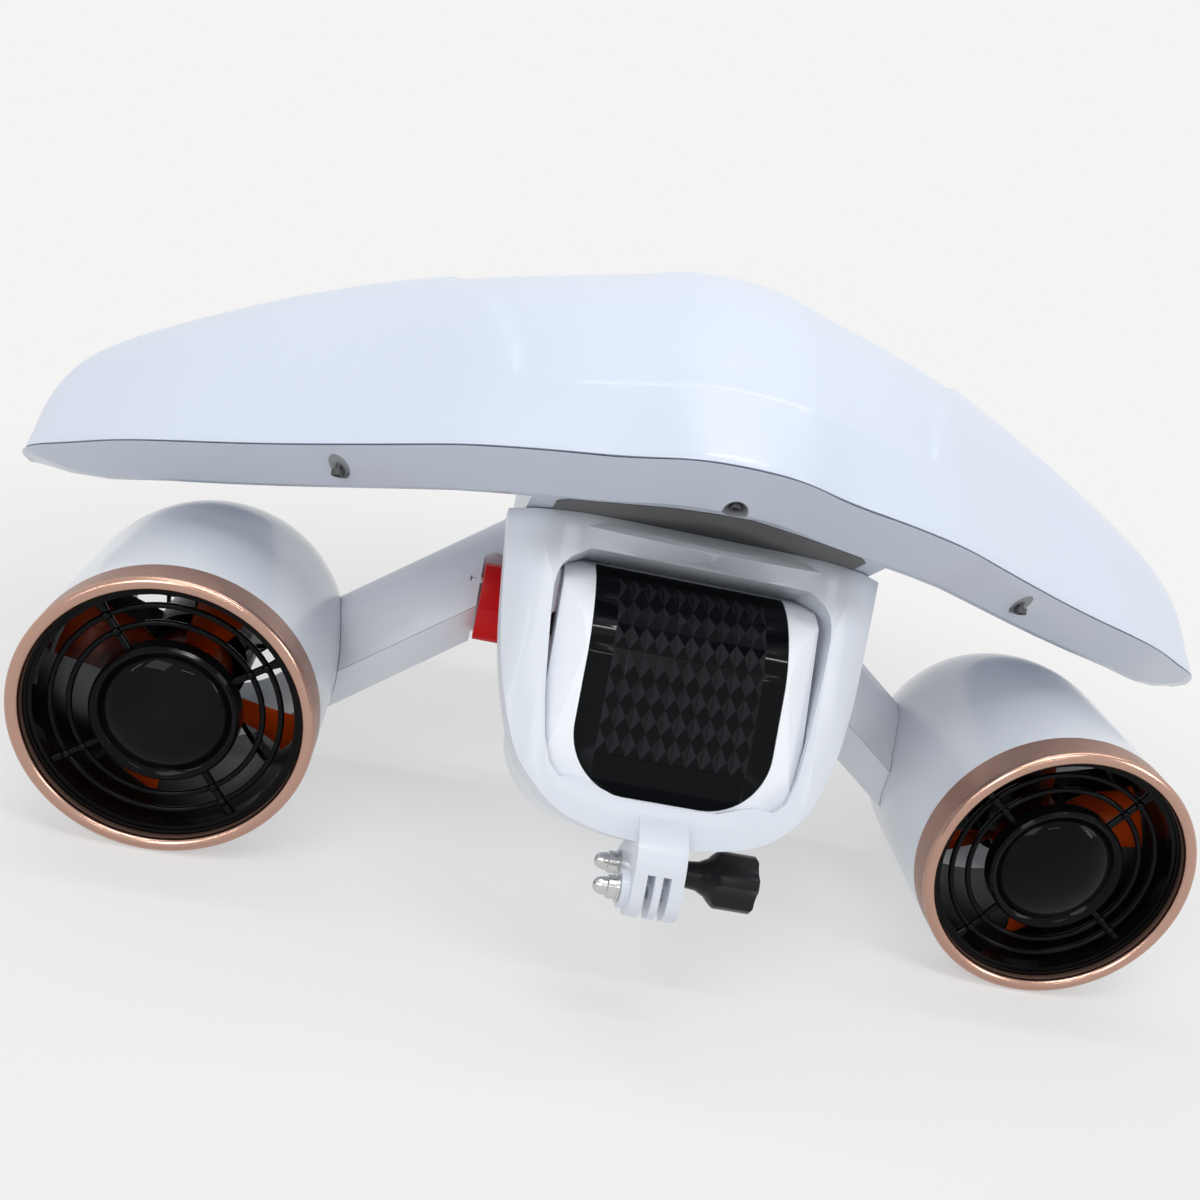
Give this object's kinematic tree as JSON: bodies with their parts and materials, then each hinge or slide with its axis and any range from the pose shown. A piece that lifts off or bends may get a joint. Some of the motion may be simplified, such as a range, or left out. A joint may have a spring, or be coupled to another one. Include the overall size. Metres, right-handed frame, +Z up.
{
  "type": "underwater scooter",
  "caption": "Hand-held underwater scooter: ducted propellers on trigger arms either side of a battery housing, under a swept float wing with a camera fork.",
  "frame": {"origin": "middle of the bounding box's underside, on the plane that the two ducts stand on", "axes": "+X to the right of someone who faces the duct mouths, +Y back along the duct axes, +Z up; the housing, bracket and float pitch nose-up by 30.7 degrees about X"},
  "size_m": [0.628, 0.2776, 0.2917],
  "materials": {
    "white_float": "glossy cool-white moulding",
    "white_body": "glossy white moulding",
    "white_duct": "glossy white paint",
    "copper_band": "satin rose-copper with a bright lip",
    "black_gloss": "gloss black",
    "black_liner": "deep black, soft sheen",
    "black_satin": "satin black",
    "black_rubber": "matt",
    "blade_orange": "translucent orange-red",
    "trigger_red": "glossy red",
    "steel": "polished",
    "motor_can": "dark anodised",
    "cell_wrap": "blue sleeve",
    "board_green": "solder mask",
    "contact_brass": "plated",
    "window_clear": "smoked",
    "case_grey": "fine grain"
  },
  "bodies": {
    "hull": {"camera_nut": "steel", "centre_housing": "white_body", "clamp_nut": "steel", "control_board": "board_green", "display_window": "window_clear", "float_bottom_shell": "white_float", "float_bracket": "white_body", "float_screws": "steel", "float_seal": "black_rubber", "float_top_shell": "white_float", "left_arm_lower": "white_body", "left_arm_upper": "white_body", "left_bezel": "copper_band", "left_duct_liner": "black_liner", "left_duct_shell": "white_duct", "left_inlet_grille": "black_gloss", "left_motor": "motor_can", "left_motor_cable": "black_rubber", "left_nose_dome": "black_gloss", "left_outlet_guard": "black_gloss", "left_release_spring": "steel", "left_stator": "black_liner", "left_trigger_pin": "steel", "left_trigger_spring": "steel", "rear_cover": "case_grey", "right_arm_lower": "white_body", "right_arm_upper": "white_body", "right_bezel": "copper_band", "right_duct_liner": "black_liner", "right_duct_shell": "white_duct", "right_inlet_grille": "black_gloss", "right_motor": "motor_can", "right_motor_cable": "black_rubber", "right_nose_dome": "black_gloss", "right_outlet_guard": "black_gloss", "right_release_spring": "steel", "right_stator": "black_liner", "right_trigger_pin": "steel", "right_trigger_spring": "steel"},
    "battery": {"battery_case": "case_grey", "battery_cover": "black_gloss", "battery_seal": "black_rubber", "battery_cells": "cell_wrap", "battery_contacts": "contact_brass"},
    "clamp_screw": {"clamp_knob": "black_satin", "clamp_stud": "steel"},
    "power_button": {"power_button": "black_satin"},
    "left_propeller": {"left_propeller": "blade_orange", "left_propeller_nut": "steel", "left_propeller_shaft": "steel"},
    "left_trigger": {"left_trigger": "trigger_red"},
    "left_release": {"left_release_button": "black_satin"},
    "right_propeller": {"right_propeller": "blade_orange", "right_propeller_nut": "steel", "right_propeller_shaft": "steel"},
    "right_trigger": {"right_trigger": "trigger_red"},
    "right_release": {"right_release_button": "black_satin"}
  },
  "joints": [
    {"name": "battery_slide", "type": "slide", "parent": "hull", "child": "battery", "axis": [0, -0.8599, 0.5105], "range_m": [0, 0.12]},
    {"name": "clamp_screw_turn", "type": "hinge", "parent": "hull", "child": "clamp_screw", "pos_m": [0, -0.09906, 0.06374], "axis": [1, 0, 0], "continuous": true},
    {"name": "power_button_press", "type": "slide", "parent": "hull", "child": "power_button", "axis": [0, -0.8599, 0.5105], "range_m": [0, 0.001], "stiffness_N_per_m": 900, "springref_m": -0.001},
    {"name": "left_propeller_spin", "type": "hinge", "parent": "hull", "child": "left_propeller", "pos_m": [-0.207, -0.0063, 0.065], "axis": [0, 1, 0], "continuous": true},
    {"name": "left_trigger_pull", "type": "hinge", "parent": "hull", "child": "left_trigger", "pos_m": [-0.074, 0.0447, 0.1205], "axis": [1, 0, 0], "range_deg": [0, 9], "stiffness_Nm_per_rad": 0.6, "springref_deg": -5.73, "deforming": ["left_trigger_spring"]},
    {"name": "left_release_press", "type": "slide", "parent": "hull", "child": "left_release", "axis": [1, 0, 0], "range_m": [0, 0.0025], "stiffness_N_per_m": 700, "springref_m": -0.001, "deforming": ["left_release_spring"]},
    {"name": "right_propeller_spin", "type": "hinge", "parent": "hull", "child": "right_propeller", "pos_m": [0.207, -0.0063, 0.065], "axis": [0, 1, 0], "continuous": true},
    {"name": "right_trigger_pull", "type": "hinge", "parent": "hull", "child": "right_trigger", "pos_m": [0.074, 0.0447, 0.1205], "axis": [1, 0, 0], "range_deg": [0, 9], "stiffness_Nm_per_rad": 0.6, "springref_deg": -5.73, "deforming": ["right_trigger_spring"]},
    {"name": "right_release_press", "type": "slide", "parent": "hull", "child": "right_release", "axis": [-1, 0, 0], "range_m": [0, 0.0025], "stiffness_N_per_m": 700, "springref_m": -0.001, "deforming": ["right_release_spring"]}
  ]
}
